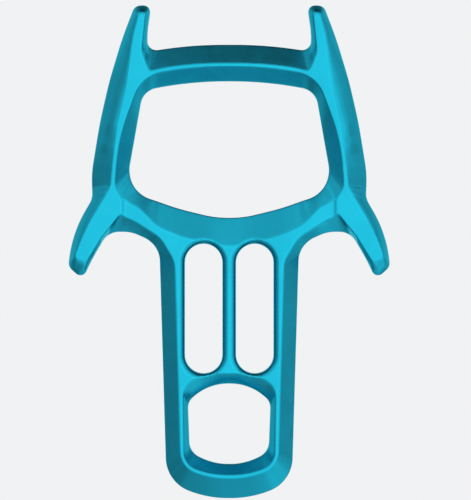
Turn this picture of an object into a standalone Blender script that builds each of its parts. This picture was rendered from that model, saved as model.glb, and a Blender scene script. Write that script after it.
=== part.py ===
"""Figure eight descender with horns and wings, forged in one piece and anodised turquoise.

It hangs in the XZ plane with one face towards -Y. The origin is the point that it hangs from: the
underside of the top bar, on the centre line, at mid-thickness. Outlines are written for the right
half, in millimetres, as corners with the length that each rounding trims off the lines beside it.
"""

import math
from typing import NamedTuple

import bmesh
import bpy

MM = 0.001
OBJECT_NAME = "figure_eight_descender"
BODY_NAME = "descender_body"

LOOP_HALF = 6.0  # half thickness of the rope loop, the horns and the wings
STEM_HALF = 5.6  # half thickness of the arms and the stem
LAND = 0.9  # half height of the upright band along the parting line
STEM_LAND = 1.6  # the same round the stem
EYE_LAND = 1.6  # in the eye
WING_LAND = 4.6  # and under the wing, where only the edge is sloped
CUT_HALF = 7.0  # cutters reach this far from mid-thickness
BOX_HALF = 8.0

STEP_FLOOR = 31.6  # half width of the lowered stem face at its floor
STEP_RISE = 1.15  # how far its sloping end runs outwards to the loop's face
STEP_TOP = -33.0
STEP_BOTTOM = -132.0

SLOT_ACROSS = 7.77  # centre line of each rope slot
SLOT_RADIUS = 5.7
SLOT_TOP = -49.4
SLOT_BOTTOM = -88.8
SLOT_EDGE = 1.8  # width of the sloped edge round the slots, where the rope runs
SLOT_DEPTH = 1.55  # how far that edge drops to the upright wall
SLOT_START = 0.05  # its slope next to the face, as a share of its mean slope

BAR_SLOPE = math.atan2(STEM_HALF - LAND, 8.5)  # tilt of the loop's lower inner slope
BAR_EDGE_CENTRE = -50.0  # that slope's edge on the stem's face, at the centre line
BAR_EDGE_RISE = 0.19  # and its climb towards the arms

ARC_STEPS = 4
SLOPE_STEPS = 4
SLOT_ARC_STEPS = 12

TURQUOISE = (0.013, 0.42, 0.61, 1.0)
ROUGHNESS = 0.36


class Corner(NamedTuple):
    """One corner at the parting line and the matching corner of the flat face above it."""

    side: tuple  # across, up and trim at the parting line
    flat: tuple  # across, up and trim at the edge of the flat face
    level: float = LOOP_HALF  # height of that face above mid-thickness
    start: float = 1.0  # the slope next to the face, as a share of the mean: 1 is straight
    land: float = LAND


class Station(NamedTuple):
    """One cross-section of a slope: where it starts, where it ends, and its form."""

    side: tuple
    flat: tuple
    level: float
    start: float
    land: float


OUTER = [
    # Top bar, horn root and horn
    Corner((10.65, 11.12, 8.6), (10.0, 5.25, 7.4)),
    Corner((20.3, 9.74, 1.0), (19.4, 3.97, 2.0)),
    Corner((22.97, 9.34, 1.25), (24.2, 2.85, 0.5)),
    Corner((24.87, 10.98, 1.25), (25.45, 5.5, 0.5), start=0.5, land=1.4),
    Corner((24.85, 15.2, 2.2), (26.75, 8.7, 1.5), start=0.7, land=3.0),
    Corner((23.72, 23.08, 2.3), (25.6, 19.9, 0.7), start=0.0, land=2.4),
    Corner((28.75, 23.05, 1.8), (27.5, 19.9, 0.7), start=0.0, land=1.8),
    Corner((32.6, 12.9, 3.5), (29.5, 11.8, 3.0), start=0.3),
    # Outer side of the loop, down to the wing
    Corner((36.45, 0.2, 4.0), (31.05, -1.15, 4.0), start=0.4),
    Corner((39.3, -12.2, 4.0), (33.8, -13.3, 4.0), start=0.2),
    Corner((40.85, -21.6, 3.0), (35.1, -22.6, 3.0), start=0.8),
    Corner((41.85, -27.9, 3.0), (35.65, -27.7, 2.0)),
    Corner((41.72, -32.6, 0.5), (36.0, -31.7, 0.5)),
    Corner((41.6, -35.6, 1.6), (36.7, -33.6, 0.8), start=0.25, land=1.4),
    # Wing and armpit
    Corner((47.85, -46.4, 8.0), (44.5, -46.4, 6.0), start=0.5, land=1.2),
    Corner((48.95, -56.4, 1.5), (47.0, -53.6, 1.2), start=0.3, land=1.8),
    Corner((44.6, -60.2, 2.5), (43.4, -54.6, 1.0), start=0.0, land=2.4),
    Corner((41.3, -53.3, 3.0), (41.5, -51.75, 2.0), land=WING_LAND),
    Corner((38.76, -49.1, 0.4), (38.6, -47.2, 0.4), land=3.6),
    Corner((36.75, -45.77, 3.3), (32.9, -40.1, 0.9)),
    # Arm and stem
    Corner((29.8, -45.77, 2.5), (27.5, -43.35, 2.0), level=STEM_HALF, land=STEM_LAND),
    Corner((23.8, -48.5, 2.3), (20.9, -47.6, 2.2), level=STEM_HALF, land=1.8),
    Corner((21.17, -52.3, 2.3), (16.45, -55.0, 2.5), level=STEM_HALF, land=1.4),
    Corner((19.1, -121.9, 7.3), (14.7, -117.3, 5.0), level=STEM_HALF, land=STEM_LAND),
    Corner((6.5, -126.76, 6.0), (5.0, -120.55, 4.6), level=STEM_HALF, land=STEM_LAND),
]

ROPE_LOOP = [
    Corner((11.0, 0.0, 10.6), (10.5, 4.47, 9.5)),
    Corner((26.2, -2.8, 4.0), (26.4, 1.68, 6.0)),
    Corner((28.85, -17.9, 5.0), (33.85, -17.6, 9.0)),
    Corner((30.55, -27.4, 2.2), (34.9, -32.4, 1.8), land=1.1),
    Corner((29.35, -31.85, 2.2), (32.3, -36.45, 0.6), start=0.9, land=2.7),
    Corner((26.2, -35.05, 2.2), (27.8, -38.05, 2.5), level=STEM_HALF, start=0.9, land=2.5),
    Corner((21.3, -36.69, 1.4), (22.1, -44.1, 2.3), level=STEM_HALF, land=1.4),
    Corner((15.6, -38.74, 4.0), (14.95, -47.15, 2.5), level=STEM_HALF),
    Corner((4.1, -41.5, 3.8), (4.0, -50.0, 3.5), level=STEM_HALF),
]

EYE = [
    Corner((6.27, -91.91, 6.0), (8.5, -88.7, 4.4), level=STEM_HALF, start=0.7, land=2.0),
    Corner((12.55, -97.45, 1.9), (14.05, -92.75, 2.4), level=STEM_HALF, start=0.5, land=2.2),
    Corner((12.0, -112.85, 3.2), (13.85, -116.6, 3.6), level=STEM_HALF, land=EYE_LAND),
    Corner((4.47, -116.39, 4.3), (5.5, -119.65, 4.8), level=STEM_HALF, land=EYE_LAND),
]


def towards(start, end, distance):
    """The point at this distance from start on the way to end."""
    length = math.dist(start, end)
    return (
        start[0] + (end[0] - start[0]) * distance / length,
        start[1] + (end[1] - start[1]) * distance / length,
    )


def rounded_corner(before, corner, after):
    """Points of the circular arc that replaces a corner, trim away from it on both sides."""
    at, trim = corner[:2], corner[2]
    first = towards(at, before, trim)
    last = towards(at, after, trim)
    half_chord = math.dist(first, last) / 2
    weight = half_chord / trim  # cosine of half the turn
    points = []
    for step in range(ARC_STEPS + 1):
        t = step / ARC_STEPS
        parts = (1 - t) ** 2, 2 * weight * t * (1 - t), t * t
        points.append(
            tuple(
                (parts[0] * first[k] + parts[1] * at[k] + parts[2] * last[k]) / sum(parts)
                for k in (0, 1)
            )
        )
    return points


def rounded_path(corners):
    """Points from the centre line round all the corners and back to the centre line."""
    ends = (0.0, corners[0][1]), (0.0, corners[-1][1])
    stops = [ends[0], *[corner[:2] for corner in corners], ends[1]]
    points = [ends[0]]
    for before, corner, after in zip(stops, corners, stops[2:]):
        points.extend(rounded_corner(before, corner, after))
    return [*points, ends[1]]


def blended(before, corner, after, turned):
    """(start, land) part of the way round a corner, half a neighbour's at either end."""
    other, share = (before, 0.5 - turned) if turned < 0.5 else (after, turned - 0.5)
    return (
        corner.start + (other.start - corner.start) * share,
        corner.land + (other.land - corner.land) * share,
    )


def stations(corners):
    """The cross-sections of an outline's slope, from the centre line to the centre line."""
    sides = rounded_path([corner.side for corner in corners])
    flats = rounded_path([corner.flat for corner in corners])
    first, last = corners[0], corners[-1]
    forms = [(first.level, first.start, first.land)]
    for before, corner, after in zip([first, *corners], corners, [*corners[1:], last]):
        for step in range(ARC_STEPS + 1):
            forms.append((corner.level, *blended(before, corner, after, step / ARC_STEPS)))
    forms.append((last.level, last.start, last.land))
    return [Station(side, flat, *form) for side, flat, form in zip(sides, flats, forms)]


def slope_section(station, top):
    """(distance in from the parting line, height) up the slope, which runs on to the height top."""
    run = math.dist(station.side, station.flat)
    rise = station.level - station.land
    reach = (top - station.land) / rise
    points = [(0.0, 0.0)]
    for step in range(SLOPE_STEPS + 1):
        s = reach * step / SLOPE_STEPS
        climb = 1 - (1 - s) * (station.start + (1 - station.start) * (1 - s))
        points.append((s * run, station.land + climb * rise))
    return points


def slope_rings(corners, top):
    """Rings of points, from mid-thickness to the height top, on the -Y side."""
    rings = [[] for _ in range(SLOPE_STEPS + 2)]
    for station in stations(corners):
        for ring, (inwards, height) in zip(rings, slope_section(station, top)):
            across, up = towards(station.side, station.flat, inwards)
            ring.append((across * MM, -height * MM, up * MM))
    return rings


def slot_outline():
    """(point, outward direction) round a slot, anticlockwise from its right side's lower end."""
    straight = SLOT_TOP - SLOT_BOTTOM - 2 * SLOT_RADIUS
    middle = (SLOT_TOP + SLOT_BOTTOM) / 2
    outline = []
    for sign, start in ((1, 0.0), (-1, math.pi)):
        for step in range(SLOT_ARC_STEPS + 1):
            turn = start + math.pi * step / SLOT_ARC_STEPS
            out = math.cos(turn), math.sin(turn)
            up = middle + sign * straight / 2 + SLOT_RADIUS * out[1]
            outline.append(((SLOT_ACROSS + SLOT_RADIUS * out[0], up), out))
    return outline


def slot_section(point, out):
    """(distance out from the slot, height) of the slot's wall and sloped edge at this point."""
    across = point[0] + SLOT_EDGE * out[0]
    up = point[1] + SLOT_EDGE * out[1]
    above_edge = max(0.0, up - BAR_EDGE_CENTRE - BAR_EDGE_RISE * across)
    face = STEM_HALF - above_edge * math.tan(BAR_SLOPE)
    points = [(0.0, 0.0)]
    for step in range(SLOPE_STEPS + 1):
        s = step / SLOPE_STEPS
        below = (1 - s) * (SLOT_START + (1 - SLOT_START) * (1 - s))
        points.append((s * SLOT_EDGE, face - below * SLOT_DEPTH))
    return [*points, (SLOT_EDGE, CUT_HALF)]


def slot_rings():
    rings = [[] for _ in range(SLOPE_STEPS + 3)]
    for point, out in slot_outline():
        for ring, (outwards, height) in zip(rings, slot_section(point, out)):
            across = point[0] + out[0] * outwards
            up = point[1] + out[1] * outwards
            ring.append((across * MM, -height * MM, up * MM))
    return rings


def shell(name, rings, closed, collection):
    """A quarter of a solid, open at the planes that it is mirrored about: rings and an end cap."""
    shape = bmesh.new()
    levels = [[shape.verts.new(point) for point in ring] for ring in rings]
    count = len(rings[0])
    for lower, upper in zip(levels, levels[1:]):
        for i in range(count if closed else count - 1):
            j = (i + 1) % count
            shape.faces.new((lower[i], lower[j], upper[j], upper[i]))
    cap = shape.faces.new(levels[-1])
    cap.normal_update()
    if cap.normal.y > 0:  # the outline ran clockwise
        bmesh.ops.reverse_faces(shape, faces=shape.faces[:])
    mesh = bpy.data.meshes.new(name)
    shape.to_mesh(mesh)
    shape.free()
    obj = bpy.data.objects.new(name, mesh)
    collection.objects.link(obj)
    mirror = obj.modifiers.new("mirror", "MIRROR")
    mirror.use_axis = (True, True, False)
    mirror.merge_threshold = 0.00001
    return obj


def stem_step(collection):
    """The cutter that lowers both faces of the arms and the stem."""
    shape = bmesh.new()
    bmesh.ops.create_cube(shape, size=1.0)
    slant = STEP_RISE / (LOOP_HALF - STEM_HALF)
    for vertex in shape.verts:
        outer = vertex.co.y < 0
        height = BOX_HALF if outer else STEM_HALF
        half_width = STEP_FLOOR + slant * (height - STEM_HALF)
        up = STEP_TOP if vertex.co.z > 0 else STEP_BOTTOM
        side = math.copysign(half_width, vertex.co.x)
        vertex.co = side * MM, -height * MM, up * MM
    mesh = bpy.data.meshes.new("stem_step_cutter")
    shape.to_mesh(mesh)
    shape.free()
    obj = bpy.data.objects.new("stem_step_cutter", mesh)
    collection.objects.link(obj)
    mirror = obj.modifiers.new("mirror", "MIRROR")
    mirror.use_axis = (False, True, False)
    mirror.use_mirror_merge = False
    return obj


def anodised_aluminium():
    material = bpy.data.materials.new("anodised_aluminium")
    material.use_nodes = True
    shader = material.node_tree.nodes["Principled BSDF"]
    shader.inputs["Base Color"].default_value = TURQUOISE
    shader.inputs["Metallic"].default_value = 1.0
    shader.inputs["Roughness"].default_value = ROUGHNESS
    return material


def new_collection(name):
    collection = bpy.data.collections.new(name)
    bpy.context.scene.collection.children.link(collection)
    return collection


def make_descender():
    parts = new_collection(OBJECT_NAME)
    cutters = new_collection("cutters")
    body = shell(BODY_NAME, slope_rings(OUTER, LOOP_HALF), False, parts)
    tools = [
        stem_step(cutters),
        shell("rope_loop_cutter", slope_rings(ROPE_LOOP, CUT_HALF), False, cutters),
        shell("eye_cutter", slope_rings(EYE, CUT_HALF), False, cutters),
        shell("slot_cutter", slot_rings(), True, cutters),
    ]
    for tool in tools:
        tool.hide_render = True
        tool.display_type = "WIRE"
        cut = body.modifiers.new(tool.name, "BOOLEAN")
        cut.operation = "DIFFERENCE"
        cut.object = tool
    body.data.materials.append(anodised_aluminium())


for old in list(bpy.data.objects):
    bpy.data.objects.remove(old)
make_descender()
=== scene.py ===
"""Looks of the figure eight descender: a satin anodised forging, held up in a pale studio.

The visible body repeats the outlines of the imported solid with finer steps, rounds every edge as
forging and tumbling do, and takes a procedural anodised finish. Outlines are written for the right
half, in millimetres, as corners with the length that each rounding trims off the lines beside it.
"""

import math
from typing import NamedTuple

import bmesh
import bpy
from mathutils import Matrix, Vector


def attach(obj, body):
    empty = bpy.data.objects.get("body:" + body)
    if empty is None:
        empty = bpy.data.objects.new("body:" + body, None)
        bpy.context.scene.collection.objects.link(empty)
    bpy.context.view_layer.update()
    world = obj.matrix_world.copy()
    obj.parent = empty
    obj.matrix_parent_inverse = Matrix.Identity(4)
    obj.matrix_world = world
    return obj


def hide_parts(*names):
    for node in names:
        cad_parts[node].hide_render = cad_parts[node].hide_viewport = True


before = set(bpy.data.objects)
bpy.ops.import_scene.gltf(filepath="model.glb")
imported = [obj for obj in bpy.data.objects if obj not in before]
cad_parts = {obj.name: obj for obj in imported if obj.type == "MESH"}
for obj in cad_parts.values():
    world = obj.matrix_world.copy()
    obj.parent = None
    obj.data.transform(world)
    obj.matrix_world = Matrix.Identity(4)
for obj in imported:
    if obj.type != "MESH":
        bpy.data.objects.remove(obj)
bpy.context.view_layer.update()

MM = 0.001
NODE = "descender_body"

# Photograph and camera, in pixels, metres and, for the sensor, millimetres
PHOTO_HEIGHT = 500
PHOTO_WIDTH = 471
PIXEL = 0.150 / 493.0  # metres of the object per pixel, at mid-thickness
ORIGIN_ACROSS = 229.2  # where the frame's origin lies in the photograph
ORIGIN_DOWN = 81.4
CAMERA_DISTANCE = 1.8
CAMERA_REACH = 20.0  # nothing beyond this is drawn
SENSOR = 36.0

# Section of the forging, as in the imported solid
LOOP_HALF = 6.0  # half thickness of the rope loop, the horns and the wings
STEM_HALF = 5.6  # half thickness of the arms and the stem
LAND = 0.9  # half height of the upright band along the parting line
STEM_LAND = 1.6  # the same round the stem
EYE_LAND = 1.6  # in the eye
WING_LAND = 4.6  # and under the wing, where only the edge is sloped
CUT_HALF = 7.0  # the cutters of the openings reach this far from mid-thickness
BOX_HALF = 8.0  # and the one that lowers the stem's faces this far

STEP_FLOOR = 31.6  # half width of the lowered stem face at its floor
STEP_RISE = 1.15  # how far its sloping end runs outwards to the loop's face
STEP_TOP = -33.0  # inside the rope loop
STEP_BOTTOM = -132.0  # past the lower end

SLOT_ACROSS = 7.77  # centre line of each rope slot
SLOT_RADIUS = 5.7
SLOT_TOP = -49.4
SLOT_BOTTOM = -88.8
SLOT_EDGE = 1.8  # width of the sloped edge round the slots, where the rope runs
SLOT_DEPTH = 1.55  # how far that edge drops to the upright wall
SLOT_START = 0.05  # its slope next to the face, as a share of its mean slope

BAR_RUN = 8.5  # width of the loop's lower inner slope
BAR_SLOPE = math.atan2(STEM_HALF - LAND, BAR_RUN)  # its tilt
BAR_EDGE_CENTRE = -50.0  # its edge on the stem's face, at the centre line
BAR_EDGE_RISE = 0.19  # and that edge's climb towards the arms

# Fineness of the visible body
ARC_STEPS = 14
SLOPE_STEPS = 8
SLOT_ARC_STEPS = 40
MERGE_WITHIN = 0.01  # mirrored points closer than this become one
VOXEL = 0.30  # grid that the edges are rounded on
SMOOTH_FACTOR = 0.5
SMOOTH_PASSES = 5
SHOWN_TRIANGLES = 190000

# Anodised finish, its sizes in metres
DYE_DEEP = (0.0085, 0.425, 0.555, 1.0)
DYE_LIGHT = (0.0095, 0.465, 0.592, 1.0)
DYE_PATCH = 0.012
DYE_DETAIL = 3.0
GLANCING_TINT = (0.34, 0.70, 0.70, 1.0)  # keeps the dye's colour where the metal is seen edge on
ROUGHNESS = (0.24, 0.30)
ETCH_PATCH = 0.005
ETCH_DETAIL = 4.0
GRAIN_SIZE = 0.0003
GRAIN_DETAIL = 2.0
GRAIN_DEPTH = 0.00002
GRAIN_STRENGTH = 0.12
OXIDE = 0.12  # weight of the clear layer over the dyed metal
OXIDE_ROUGHNESS = 0.35
NOISE_SPAN = (0.3, 0.7)  # where most values of a noise lie

# Floor, in metres
FLOOR_SIDES = 96
FLOOR_RADIUS = 2.5
FLOOR_HEIGHT = -0.40
FLOOR_COLOUR = (0.85, 0.86, 0.87, 1.0)
FLOOR_ROUGHNESS = 0.9


class Corner(NamedTuple):
    """One corner at the parting line and the matching corner of the flat face above it."""

    side: tuple  # across, up and trim at the parting line
    flat: tuple  # across, up and trim at the edge of the flat face
    level: float = LOOP_HALF  # height of that face above mid-thickness
    start: float = 1.0  # the slope next to the face, as a share of the mean: 1 is straight
    land: float = LAND


class Station(NamedTuple):
    """One cross-section of a slope: where it starts, where it ends, and its form."""

    side: tuple
    flat: tuple
    level: float
    start: float
    land: float


OUTER = [
    # Top bar, horn root and horn
    Corner((10.65, 11.12, 8.6), (10.0, 5.25, 7.4)),
    Corner((20.3, 9.74, 1.0), (19.4, 3.97, 2.0)),
    Corner((22.97, 9.34, 1.25), (24.2, 2.85, 0.5)),
    Corner((24.87, 10.98, 1.25), (25.45, 5.5, 0.5), start=0.5, land=1.4),
    Corner((24.85, 15.2, 2.2), (26.75, 8.7, 1.5), start=0.7, land=3.0),
    Corner((23.72, 23.08, 2.3), (25.6, 19.9, 0.7), start=0.0, land=2.4),
    Corner((28.75, 23.05, 1.8), (27.5, 19.9, 0.7), start=0.0, land=1.8),
    Corner((32.6, 12.9, 3.5), (29.5, 11.8, 3.0), start=0.3),
    # Outer side of the loop, down to the wing
    Corner((36.45, 0.2, 4.0), (31.05, -1.15, 4.0), start=0.4),
    Corner((39.3, -12.2, 4.0), (33.8, -13.3, 4.0), start=0.2),
    Corner((40.85, -21.6, 3.0), (35.1, -22.6, 3.0), start=0.8),
    Corner((41.85, -27.9, 3.0), (35.65, -27.7, 2.0)),
    Corner((41.72, -32.6, 0.5), (36.0, -31.7, 0.5)),
    Corner((41.6, -35.6, 1.6), (36.7, -33.6, 0.8), start=0.25, land=1.4),
    # Wing and armpit
    Corner((47.85, -46.4, 8.0), (44.5, -46.4, 6.0), start=0.5, land=1.2),
    Corner((48.95, -56.4, 1.5), (47.0, -53.6, 1.2), start=0.3, land=1.8),
    Corner((44.6, -60.2, 2.5), (43.4, -54.6, 1.0), start=0.0, land=2.4),
    Corner((41.3, -53.3, 3.0), (41.5, -51.75, 2.0), land=WING_LAND),
    Corner((38.76, -49.1, 0.4), (38.6, -47.2, 0.4), land=3.6),
    Corner((36.75, -45.77, 3.3), (32.9, -40.1, 0.9)),
    # Arm and stem
    Corner((29.8, -45.77, 2.5), (27.5, -43.35, 2.0), level=STEM_HALF, land=STEM_LAND),
    Corner((23.8, -48.5, 2.3), (20.9, -47.6, 2.2), level=STEM_HALF, land=1.8),
    Corner((21.17, -52.3, 2.3), (16.45, -55.0, 2.5), level=STEM_HALF, land=1.4),
    Corner((19.1, -121.9, 7.3), (14.7, -117.3, 5.0), level=STEM_HALF, land=STEM_LAND),
    Corner((6.5, -126.76, 6.0), (5.0, -120.55, 4.6), level=STEM_HALF, land=STEM_LAND),
]

ROPE_LOOP = [
    Corner((11.0, 0.0, 10.6), (10.5, 4.47, 9.5)),
    Corner((26.2, -2.8, 4.0), (26.4, 1.68, 6.0)),
    Corner((28.85, -17.9, 5.0), (33.85, -17.6, 9.0)),
    Corner((30.55, -27.4, 2.2), (34.9, -32.4, 1.8), land=1.1),
    Corner((29.35, -31.85, 2.2), (32.3, -36.45, 0.6), start=0.9, land=2.7),
    Corner((26.2, -35.05, 2.2), (27.8, -38.05, 2.5), level=STEM_HALF, start=0.9, land=2.5),
    Corner((21.3, -36.69, 1.4), (22.1, -44.1, 2.3), level=STEM_HALF, land=1.4),
    Corner((15.6, -38.74, 4.0), (14.95, -47.15, 2.5), level=STEM_HALF),
    Corner((4.1, -41.5, 3.8), (4.0, -50.0, 3.5), level=STEM_HALF),
]

EYE = [
    Corner((6.27, -91.91, 6.0), (8.5, -88.7, 4.4), level=STEM_HALF, start=0.7, land=2.0),
    Corner((12.55, -97.45, 1.9), (14.05, -92.75, 2.4), level=STEM_HALF, start=0.5, land=2.2),
    Corner((12.0, -112.85, 3.2), (13.85, -116.6, 3.6), level=STEM_HALF, land=EYE_LAND),
    Corner((4.47, -116.39, 4.3), (5.5, -119.65, 4.8), level=STEM_HALF, land=EYE_LAND),
]


class Ring(NamedTuple):
    """Soft lights far away, evenly spread round the line of sight, anticlockwise from the right."""

    name: str
    angle: float  # away from the camera's side, in degrees
    first: float  # where the first of them stands, in degrees
    edge: float  # half angle at which each has faded out
    strengths: tuple


STUDIO = [
    Ring("front", 0, 0, 35, (0.58,)),
    Ring("near", 30, 0, 35, (0.62, 0.54, 0.51, 0.44, 0.44, 0.58)),
    Ring("wide", 60, 15, 30, (
        0.62, 0.48, 0.43, 0.48, 0.50, 0.30, 0.22, 0.22, 0.30, 0.40, 0.58, 0.48,
    )),
    Ring("side", 88, 0, 26, (
        0.17, 0.34, 0.20, 0.01, 0.0, 0.12, 0.31, 0.19,
        0.17, 0.14, 0.13, 0.25, 0.29, 0.42, 0.50, 0.28,
    )),
    Ring("beyond", 112, 18, 32, (0.32, 0.11, 0.02, 0.20, 0.35, 0.14, 0.22, 0.35, 0.40, 0.28)),
    Ring("behind", 145, 0, 45, (0.56, 0.15, 0.50, 0.42)),
    Ring("rim", 180, 0, 50, (0.6,)),
]
FULL = 1.04  # brightness from which the light has its full tint
DIM_TINT = (1.65, 1.0, 1.14, 1.0)
FULL_TINT = (0.95, 1.0, 1.09, 1.0)
BACKGROUND = (0.880, 0.888, 0.896, 1.0)


def ring_lights(ring):
    """(name, direction, strength) of each light of a ring."""
    away = math.radians(ring.angle)
    for place, strength in enumerate(ring.strengths):
        turn = math.radians(ring.first + 360.0 * place / len(ring.strengths))
        direction = Vector(
            (math.sin(away) * math.cos(turn), -math.cos(away), math.sin(away) * math.sin(turn))
        )
        yield f"{ring.name}_{place}", direction, strength


def towards(start, end, distance):
    """The point at this distance from start on the way to end."""
    length = math.dist(start, end)
    return (
        start[0] + (end[0] - start[0]) * distance / length,
        start[1] + (end[1] - start[1]) * distance / length,
    )


def rounded_corner(before, corner, after):
    """Points of the circular arc that replaces a corner, trim away from it on both sides."""
    at, trim = corner[:2], corner[2]
    first = towards(at, before, trim)
    last = towards(at, after, trim)
    half_chord = math.dist(first, last) / 2
    weight = half_chord / trim  # cosine of half the turn
    points = []
    for step in range(ARC_STEPS + 1):
        t = step / ARC_STEPS
        parts = (1 - t) ** 2, 2 * weight * t * (1 - t), t * t
        points.append(
            tuple(
                (parts[0] * first[k] + parts[1] * at[k] + parts[2] * last[k]) / sum(parts)
                for k in (0, 1)
            )
        )
    return points


def rounded_path(corners):
    """Points from the centre line round all the corners and back to the centre line."""
    ends = (0.0, corners[0][1]), (0.0, corners[-1][1])
    stops = [ends[0], *[corner[:2] for corner in corners], ends[1]]
    points = [ends[0]]
    for before, corner, after in zip(stops, corners, stops[2:]):
        points.extend(rounded_corner(before, corner, after))
    return [*points, ends[1]]


def blended(before, corner, after, turned):
    """(start, land) part of the way round a corner, half a neighbour's at either end."""
    other, share = (before, 0.5 - turned) if turned < 0.5 else (after, turned - 0.5)
    return (
        corner.start + (other.start - corner.start) * share,
        corner.land + (other.land - corner.land) * share,
    )


def stations(corners):
    """The cross-sections of an outline's slope, from the centre line to the centre line."""
    sides = rounded_path([corner.side for corner in corners])
    flats = rounded_path([corner.flat for corner in corners])
    first, last = corners[0], corners[-1]
    forms = [(first.level, first.start, first.land)]
    for before, corner, after in zip([first, *corners], corners, [*corners[1:], last]):
        for step in range(ARC_STEPS + 1):
            forms.append((corner.level, *blended(before, corner, after, step / ARC_STEPS)))
    forms.append((last.level, last.start, last.land))
    return [Station(side, flat, *form) for side, flat, form in zip(sides, flats, forms)]


def slope_section(station, top):
    """(distance in from the parting line, height) up the slope, which runs on to the height top."""
    run = math.dist(station.side, station.flat)
    rise = station.level - station.land
    reach = (top - station.land) / rise
    points = [(0.0, 0.0)]
    for step in range(SLOPE_STEPS + 1):
        s = reach * step / SLOPE_STEPS
        climb = 1 - (1 - s) * (station.start + (1 - station.start) * (1 - s))
        points.append((s * run, station.land + climb * rise))
    return points


def slope_rings(corners, top):
    """Rings of points, from mid-thickness to the height top, on the -Y side."""
    rings = [[] for _ in range(SLOPE_STEPS + 2)]
    for station in stations(corners):
        for ring, (inwards, height) in zip(rings, slope_section(station, top)):
            across, up = towards(station.side, station.flat, inwards)
            ring.append((across * MM, -height * MM, up * MM))
    return rings


def slot_outline():
    """(point, outward direction) round a slot, anticlockwise from its right side's lower end."""
    straight = SLOT_TOP - SLOT_BOTTOM - 2 * SLOT_RADIUS
    middle = (SLOT_TOP + SLOT_BOTTOM) / 2
    outline = []
    for sign, start in ((1, 0.0), (-1, math.pi)):
        for step in range(SLOT_ARC_STEPS + 1):
            turn = start + math.pi * step / SLOT_ARC_STEPS
            out = math.cos(turn), math.sin(turn)
            up = middle + sign * straight / 2 + SLOT_RADIUS * out[1]
            outline.append(((SLOT_ACROSS + SLOT_RADIUS * out[0], up), out))
    return outline


def slot_section(point, out):
    """(distance out from the slot, height) of the slot's wall and sloped edge at this point."""
    across = point[0] + SLOT_EDGE * out[0]
    up = point[1] + SLOT_EDGE * out[1]
    above_edge = max(0.0, up - BAR_EDGE_CENTRE - BAR_EDGE_RISE * across)
    face = STEM_HALF - above_edge * math.tan(BAR_SLOPE)
    points = [(0.0, 0.0)]
    for step in range(SLOPE_STEPS + 1):
        s = step / SLOPE_STEPS
        below = (1 - s) * (SLOT_START + (1 - SLOT_START) * (1 - s))
        points.append((s * SLOT_EDGE, face - below * SLOT_DEPTH))
    return [*points, (SLOT_EDGE, CUT_HALF)]


def slot_rings():
    """Rings of points round a slot, from mid-thickness to past the stem's face, on the -Y side."""
    rings = [[] for _ in range(SLOPE_STEPS + 3)]
    for point, out in slot_outline():
        for ring, (outwards, height) in zip(rings, slot_section(point, out)):
            across = point[0] + out[0] * outwards
            up = point[1] + out[1] * outwards
            ring.append((across * MM, -height * MM, up * MM))
    return rings


def shown(name, mesh):
    """An object of this mesh, linked to the scene."""
    obj = bpy.data.objects.new(name, mesh)
    bpy.context.scene.collection.objects.link(obj)
    return obj


def shell(name, rings, closed=False):
    """A quarter of a solid, open at the planes that it is mirrored about: rings and an end cap."""
    shape = bmesh.new()
    levels = [[shape.verts.new(point) for point in ring] for ring in rings]
    count = len(rings[0])
    for lower, upper in zip(levels, levels[1:]):
        for i in range(count if closed else count - 1):
            j = (i + 1) % count
            shape.faces.new((lower[i], lower[j], upper[j], upper[i]))
    cap = shape.faces.new(levels[-1])
    cap.normal_update()
    if cap.normal.y > 0:  # the outline ran clockwise
        bmesh.ops.reverse_faces(shape, faces=shape.faces[:])
    mesh = bpy.data.meshes.new(name)
    shape.to_mesh(mesh)
    shape.free()
    obj = shown(name, mesh)
    mirror = obj.modifiers.new("mirror", "MIRROR")
    mirror.use_axis = (True, True, False)
    mirror.merge_threshold = MERGE_WITHIN * MM
    return obj


def stem_step():
    """The cutter that lowers both faces of the arms and the stem."""
    shape = bmesh.new()
    bmesh.ops.create_cube(shape, size=1.0)
    slant = STEP_RISE / (LOOP_HALF - STEM_HALF)
    for vertex in shape.verts:
        outer = vertex.co.y < 0
        height = BOX_HALF if outer else STEM_HALF
        half_width = STEP_FLOOR + slant * (height - STEM_HALF)
        up = STEP_TOP if vertex.co.z > 0 else STEP_BOTTOM
        side = math.copysign(half_width, vertex.co.x)
        vertex.co = side * MM, -height * MM, up * MM
    mesh = bpy.data.meshes.new("stem_step_cutter")
    shape.to_mesh(mesh)
    shape.free()
    obj = shown("stem_step_cutter", mesh)
    mirror = obj.modifiers.new("mirror", "MIRROR")
    mirror.use_axis = (False, True, False)
    mirror.use_mirror_merge = False
    return obj


def evaluated_mesh(obj, name):
    """A copy of the object's mesh with its modifiers applied."""
    graph = bpy.context.evaluated_depsgraph_get()
    mesh = bpy.data.meshes.new_from_object(obj.evaluated_get(graph), depsgraph=graph)
    mesh.name = name
    return mesh


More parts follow.
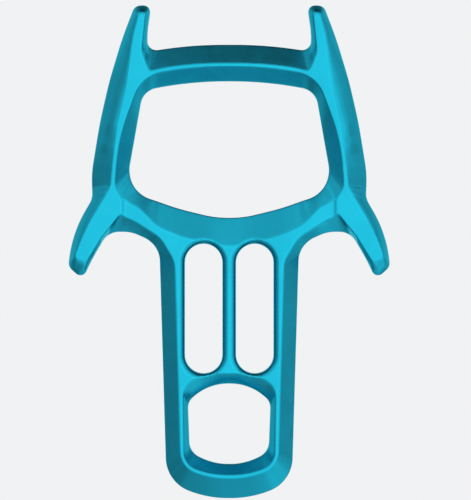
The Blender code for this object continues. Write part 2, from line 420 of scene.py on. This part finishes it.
def forged_body():
    """The whole body with every edge rounded, as one closed mesh."""
    block = shell("forging", slope_rings(OUTER, LOOP_HALF))
    tools = [
        stem_step(),
        shell("rope_loop_cutter", slope_rings(ROPE_LOOP, CUT_HALF)),
        shell("eye_cutter", slope_rings(EYE, CUT_HALF)),
        shell("slot_cutter", slot_rings(), closed=True),
    ]
    for tool in tools:
        cut = block.modifiers.new(tool.name, "BOOLEAN")
        cut.operation = "DIFFERENCE"
        cut.solver = "MANIFOLD"
        cut.object = tool
    grid = block.modifiers.new("grid", "REMESH")
    grid.mode = "VOXEL"
    grid.voxel_size = VOXEL * MM
    rounding = block.modifiers.new("rounding", "SMOOTH")
    rounding.factor = SMOOTH_FACTOR
    rounding.iterations = SMOOTH_PASSES
    dense = shown("dense", evaluated_mesh(block, "dense"))
    for helper in (*tools, block):
        bpy.data.objects.remove(helper)
    triangles = sum(len(face.vertices) - 2 for face in dense.data.polygons)
    thin = dense.modifiers.new("thin", "DECIMATE")
    thin.ratio = min(1.0, SHOWN_TRIANGLES / triangles)
    body = shown("anodised_body", evaluated_mesh(dense, "anodised_body"))
    bpy.data.objects.remove(dense)
    body.data.shade_smooth()
    return body


def noise(tree, where, size, detail):
    """A noise whose patches are about this many metres wide."""
    node = tree.nodes.new("ShaderNodeTexNoise")
    node.inputs["Scale"].default_value = 1 / size
    node.inputs["Detail"].default_value = detail
    tree.links.new(where, node.inputs["Vector"])
    return node.outputs["Fac"]


def ranged(tree, value, low, high):
    """A noise stretched from its usual span to run from low to high."""
    node = tree.nodes.new("ShaderNodeMapRange")
    node.inputs["From Min"].default_value = NOISE_SPAN[0]
    node.inputs["From Max"].default_value = NOISE_SPAN[1]
    node.inputs["To Min"].default_value = low
    node.inputs["To Max"].default_value = high
    tree.links.new(value, node.inputs["Value"])
    return node.outputs["Result"]


def anodised_finish():
    """Satin anodised aluminium: dyed metal with a fine tumbled grain under a thin clear oxide."""
    material = bpy.data.materials.new("anodised_turquoise")
    material.use_nodes = True
    tree = material.node_tree
    shader = tree.nodes["Principled BSDF"]
    where = tree.nodes.new("ShaderNodeTexCoord").outputs["Object"]
    dye = tree.nodes.new("ShaderNodeMix")
    dye.data_type = "RGBA"
    dye.inputs["A"].default_value = DYE_DEEP
    dye.inputs["B"].default_value = DYE_LIGHT
    patches = ranged(tree, noise(tree, where, DYE_PATCH, DYE_DETAIL), 0.0, 1.0)
    tree.links.new(patches, dye.inputs["Factor"])
    tree.links.new(dye.outputs["Result"], shader.inputs["Base Color"])
    etch = ranged(tree, noise(tree, where, ETCH_PATCH, ETCH_DETAIL), *ROUGHNESS)
    tree.links.new(etch, shader.inputs["Roughness"])
    grain = tree.nodes.new("ShaderNodeBump")
    grain.inputs["Strength"].default_value = GRAIN_STRENGTH
    grain.inputs["Distance"].default_value = GRAIN_DEPTH
    tree.links.new(noise(tree, where, GRAIN_SIZE, GRAIN_DETAIL), grain.inputs["Height"])
    tree.links.new(grain.outputs["Normal"], shader.inputs["Normal"])
    shader.inputs["Metallic"].default_value = 1.0
    shader.inputs["Specular Tint"].default_value = GLANCING_TINT
    shader.inputs["Coat Weight"].default_value = OXIDE
    shader.inputs["Coat Roughness"].default_value = OXIDE_ROUGHNESS
    return material


def soft_light(tree, direction, name, facing, edge, strength):
    """Brightness of one soft light, full at its centre and nothing at its edge."""
    along = tree.nodes.new("ShaderNodeVectorMath")
    along.operation = "DOT_PRODUCT"
    along.inputs[1].default_value = facing
    tree.links.new(direction, along.inputs[0])
    glow = tree.nodes.new("ShaderNodeMapRange")
    glow.name = name
    glow.interpolation_type = "SMOOTHSTEP"
    glow.inputs["From Min"].default_value = math.cos(math.radians(edge))
    glow.inputs["From Max"].default_value = 1.0
    glow.inputs["To Max"].default_value = strength
    tree.links.new(along.outputs["Value"], glow.inputs["Value"])
    return glow.outputs["Result"]


def summed(tree, first, second):
    """The sum of two outputs."""
    add = tree.nodes.new("ShaderNodeMath")
    add.operation = "ADD"
    tree.links.new(first, add.inputs[0])
    tree.links.new(second, add.inputs[1])
    return add.outputs["Value"]


def make_world():
    """Soft lights far away for the metal, and a pale background for the camera and the floor."""
    world = bpy.data.worlds.new("studio")
    bpy.context.scene.world = world
    world.use_nodes = True
    tree = world.node_tree
    tree.nodes.clear()
    direction = tree.nodes.new("ShaderNodeTexCoord").outputs["Generated"]
    total = None
    for ring in STUDIO:
        for name, facing, strength in ring_lights(ring):
            glow = soft_light(tree, direction, name, facing, ring.edge, strength)
            total = glow if total is None else summed(tree, total, glow)
    share = tree.nodes.new("ShaderNodeMath")
    share.operation = "DIVIDE"
    share.use_clamp = True
    share.inputs[1].default_value = FULL
    tree.links.new(total, share.inputs[0])
    tint = tree.nodes.new("ShaderNodeMix")
    tint.data_type = "RGBA"
    tint.inputs["A"].default_value = DIM_TINT
    tint.inputs["B"].default_value = FULL_TINT
    tree.links.new(share.outputs["Value"], tint.inputs["Factor"])
    studio = tree.nodes.new("ShaderNodeBackground")
    tree.links.new(tint.outputs["Result"], studio.inputs["Color"])
    tree.links.new(total, studio.inputs["Strength"])
    seen = tree.nodes.new("ShaderNodeBackground")
    seen.inputs["Color"].default_value = BACKGROUND
    path = tree.nodes.new("ShaderNodeLightPath")
    plain = tree.nodes.new("ShaderNodeMath")
    plain.operation = "MAXIMUM"
    tree.links.new(path.outputs["Is Camera Ray"], plain.inputs[0])
    tree.links.new(path.outputs["Is Diffuse Ray"], plain.inputs[1])
    choose = tree.nodes.new("ShaderNodeMixShader")
    tree.links.new(plain.outputs["Value"], choose.inputs["Fac"])
    tree.links.new(studio.outputs[0], choose.inputs[1])
    tree.links.new(seen.outputs[0], choose.inputs[2])
    output = tree.nodes.new("ShaderNodeOutputWorld")
    tree.links.new(choose.outputs[0], output.inputs["Surface"])


def make_floor():
    """A plain pale floor, well below the object."""
    shape = bmesh.new()
    bmesh.ops.create_circle(shape, cap_ends=True, segments=FLOOR_SIDES, radius=FLOOR_RADIUS)
    mesh = bpy.data.meshes.new("floor")
    shape.to_mesh(mesh)
    shape.free()
    floor = shown("floor", mesh)
    floor.location.z = FLOOR_HEIGHT
    material = bpy.data.materials.new("pale_floor")
    material.use_nodes = True
    shader = material.node_tree.nodes["Principled BSDF"]
    shader.inputs["Base Color"].default_value = FLOOR_COLOUR
    shader.inputs["Roughness"].default_value = FLOOR_ROUGHNESS
    floor.data.materials.append(material)
    floor.visible_glossy = False  # the metal doesn't mirror it


def make_camera():
    """The photograph's view: straight at the front face, from far off."""
    data = bpy.data.cameras.new("photo_camera")
    data.sensor_width = SENSOR
    data.lens = SENSOR * CAMERA_DISTANCE / (PHOTO_HEIGHT * PIXEL)
    data.clip_end = CAMERA_REACH
    camera = bpy.data.objects.new("photo_camera", data)
    bpy.context.scene.collection.objects.link(camera)
    camera.location = (
        (PHOTO_WIDTH / 2 - ORIGIN_ACROSS) * PIXEL,
        -CAMERA_DISTANCE,
        (ORIGIN_DOWN - PHOTO_HEIGHT / 2) * PIXEL,
    )
    camera.rotation_euler = (math.pi / 2, 0.0, 0.0)
    bpy.context.scene.camera = camera


bpy.context.scene.view_settings.view_transform = "Standard"
make_camera()
make_world()
make_floor()
body = forged_body()
body.data.materials.clear()
body.data.materials.append(anodised_finish())
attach(body, "root")
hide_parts(NODE)
